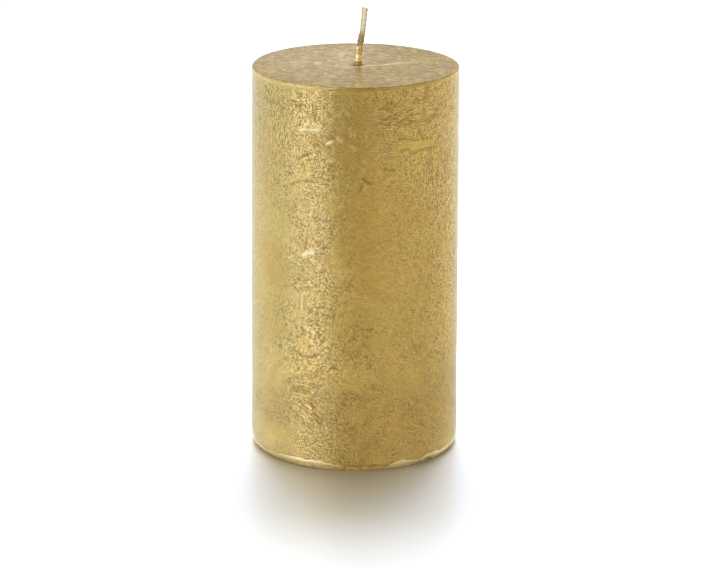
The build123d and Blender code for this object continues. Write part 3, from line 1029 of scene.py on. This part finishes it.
material("gold_wall", gold_wall, wall)
material("gold_top", gold_top, top)
material("gold_bead", gold_bead, bead)
material("wick_cotton", wick_cotton, wick)
material("sleeve_wax", sleeve_wax, sleeve)
material("hard_wax", plain_wax((0.78, 0.66, 0.44, 1), (0.7, 0.57, 0.36, 1), 0.38), nodes["overdip_shell"])
material("pressed_wax", plain_wax((0.86, 0.81, 0.68, 1), (0.79, 0.73, 0.58, 1), 0.5), nodes["wax_core"])
material("fill_wax", plain_wax((0.86, 0.8, 0.66, 1), (0.8, 0.73, 0.57, 1), 0.4), nodes["bore_fill_wax"])
material("seal_wax", plain_wax((0.75, 0.64, 0.42, 1), (0.68, 0.56, 0.35, 1), 0.35), nodes["base_seal_plug"])
material("tin_plate", tin_plate, nodes["wick_sustainer"])
material("label_paper", label_paper, nodes["base_label"])

# ---- floor ----
NEAR_FLOOR, FLOOR = 38.0, 240.0  # outside radii of its two parts
GAP_M = 0.00002  # it lies this far under the candle
floors = []
for name, radii, caps in (
    ("floor_near", (NEAR_FLOOR, 32.0, 20.0), ((2, False),)),
    ("floor", (FLOOR, 120.0, NEAR_FLOOR), ()),
):
    piece = grid_mesh(name, np.stack([ring(r, faz, 0) for r in radii]), caps=caps)
    piece.location.z = -GAP_M
    floors.append(piece)
# the outer part is left out of reflections, so the wall mirrors the soft light round it
floors[1].visible_glossy = False


def floor_white(n):
    n.shader((0.8, 0.8, 0.79, 1), 0.18, Specular_IOR_Level=0.7)


material("floor_white", floor_white, *floors)

# ---- light ----
world = bpy.data.worlds.new("studio")
scene.world = world
world.use_nodes = True
w = Nodes(world.node_tree)
direction = w.new("ShaderNodeTexCoord").outputs["Generated"]
aside, deep, height = w.split(direction)
turn = w.math("ARCTAN2", aside, w.times(deep, -1.0))
turn = w.math("MULTIPLY_ADD", turn, 1 / (2 * math.pi), 0.5)
ROOM_LIGHT, BACKDROP_LIGHT = 2.1, 1.05
# the room round the candle: degrees from the viewer's side, then light
ROOM = [
    (-180, (0.8, 0.8, 0.8)),
    (-130, (0.87, 0.87, 0.75)),
    (-100, (0.75, 0.76, 0.64)),
    (-76, (0.78, 0.84, 0.78)),
    (-62, (1.08, 1.21, 1.46)),
    (-40, (1.2, 1.31, 1.54)),
    (-28, (0.6, 0.55, 0.36)),
    (-14, (0.47, 0.415, 0.24)),
    (2, (0.42, 0.34, 0.17)),
    (14, (0.42, 0.34, 0.175)),
    (26, (0.54, 0.47, 0.3)),
    (60, (0.56, 0.5, 0.34)),
    (96, (0.57, 0.51, 0.36)),
    (122, (0.79, 0.71, 0.49)),
    (150, (0.85, 0.82, 0.67)),
    (180, (0.8, 0.8, 0.8)),
]
# dimmer towards the floor and brighter round the horizon: sine of the elevation, then light
RISE = [(-1.0, 0.36), (-0.8, 0.34), (-0.6, 0.35), (-0.42, 0.43), (-0.28, 0.53), (-0.12, 0.64)]
RISE += [(0.06, 0.7), (0.3, 0.53), (1.0, 0.42)]


def soft_colours(value, places):
    """Colours blended softly along a value, from (value, colour) places between 0 and 1."""
    node = w.new("ShaderNodeValToRGB")
    w.put(node.inputs[0], value)
    node.color_ramp.interpolation = "B_SPLINE"
    stops = node.color_ramp.elements
    for place, _ in places[1:-1]:
        stops.new(place)
    for stop, (_, rgb) in zip(stops, places):
        stop.color = (*rgb, 1)
    return node.outputs["Color"]


wheel = soft_colours(turn, [((degrees + 180) / 360, rgb) for degrees, rgb in ROOM])
rise = w.math("MULTIPLY_ADD", height, 0.5, 0.5)
lift = soft_colours(rise, [(sine / 2 + 0.5, (level,) * 3) for sine, level in RISE])
sky = w.stretch(wheel, lift)
# a window high at the front left, which the wall throws down on the floor
WINDOW = (-0.63, -0.53, 0.57)
pane = w.ramp(w.vector("DOT_PRODUCT", direction, WINDOW, "Value"), 0.82, 0.92)
sky = w.move(sky, w.scale((0.5, 0.42, 0.24), pane))
room = w.new("ShaderNodeBackground")
w.put(room.inputs[0], sky)
room.inputs[1].default_value = ROOM_LIGHT
# matt surfaces are lit from low in front and, more strongly, from high behind
FRONT_LOW, BACK_HIGH, DARK = (2.6, 2.35, 2.0, 1), (3.95, 4.0, 3.5, 1), (0, 0, 0, 1)
behind = w.math("GREATER_THAN", deep, 0.0)
low, high = w.mix(behind, FRONT_LOW, DARK), w.mix(behind, DARK, BACK_HIGH)
level = w.minus(1.0, w.times(height, height))
facing = w.math("DIVIDE", w.times(deep, deep), level)
matt = w.new("ShaderNodeBackground")
w.put(matt.inputs[0], w.scale(w.mix(w.ramp(height, 0.3, 0.6), low, high), facing))
white = w.new("ShaderNodeBackground")
white.inputs[0].default_value = (1, 1, 1, 1)
white.inputs[1].default_value = BACKDROP_LIGHT
rays = w.new("ShaderNodeLightPath")
lit = room
for kind, background in (("Is Diffuse Ray", matt), ("Is Camera Ray", white)):
    mixed = w.new("ShaderNodeMixShader")
    w.put(mixed.inputs[0], rays.outputs[kind])
    w.tree.links.new(lit.outputs[0], mixed.inputs[1])
    w.tree.links.new(background.outputs[0], mixed.inputs[2])
    lit = mixed
w.tree.links.new(lit.outputs[0], w.new("ShaderNodeOutputWorld").inputs[0])

# overhead softbox, leaning back, which throws the short soft shadow forward
KEY_PLACE_M = Vector((0.0, 0.5, 0.84))
key = bpy.data.lights.new("overhead", "AREA")
key.shape = "RECTANGLE"
key.size, key.size_y = 0.5, 0.6  # metres
key.energy = 21.0
key.color = (0.65, 0.72, 0.94)
key_obj = bpy.data.objects.new("overhead", key)
scene.collection.objects.link(key_obj)
key_obj.location = KEY_PLACE_M
key_obj.rotation_mode = "QUATERNION"
key_obj.rotation_quaternion = (Vector((0, 0, 0)) - KEY_PLACE_M).to_track_quat("-Z", "Y")
key_obj.visible_glossy = False

# ---- camera ----
PITCH_DEG, ROLL, DISTANCE_M = 16.56, 0.0044, 1.0686  # the roll is in radians
TARGET_M = Vector((0.00011, 0, 0.05475))
cam = bpy.data.cameras.new("camera")
cam.lens, cam.sensor_width = 161.7, 36.0
cam.clip_start, cam.clip_end = 0.05, 50  # metres
cam_obj = bpy.data.objects.new("camera", cam)
scene.collection.objects.link(cam_obj)
pitch = math.radians(PITCH_DEG)
back = Vector((0, -math.cos(pitch), math.sin(pitch)))
right, up = Vector((1, 0, 0)), Vector((0, math.sin(pitch), math.cos(pitch)))
rolled_right = right * math.cos(ROLL) + up * math.sin(ROLL)
rolled_up = up * math.cos(ROLL) - right * math.sin(ROLL)
stand = Matrix((rolled_right, rolled_up, back)).transposed().to_4x4()
stand.translation = TARGET_M + back * DISTANCE_M
cam_obj.matrix_world = stand
bpy.context.scene.camera = cam_obj
scene.view_settings.view_transform = "Standard"
scene.cycles.filter_width = 1.0  # a crisp film, in pixels

bpy.context.view_layer.update()
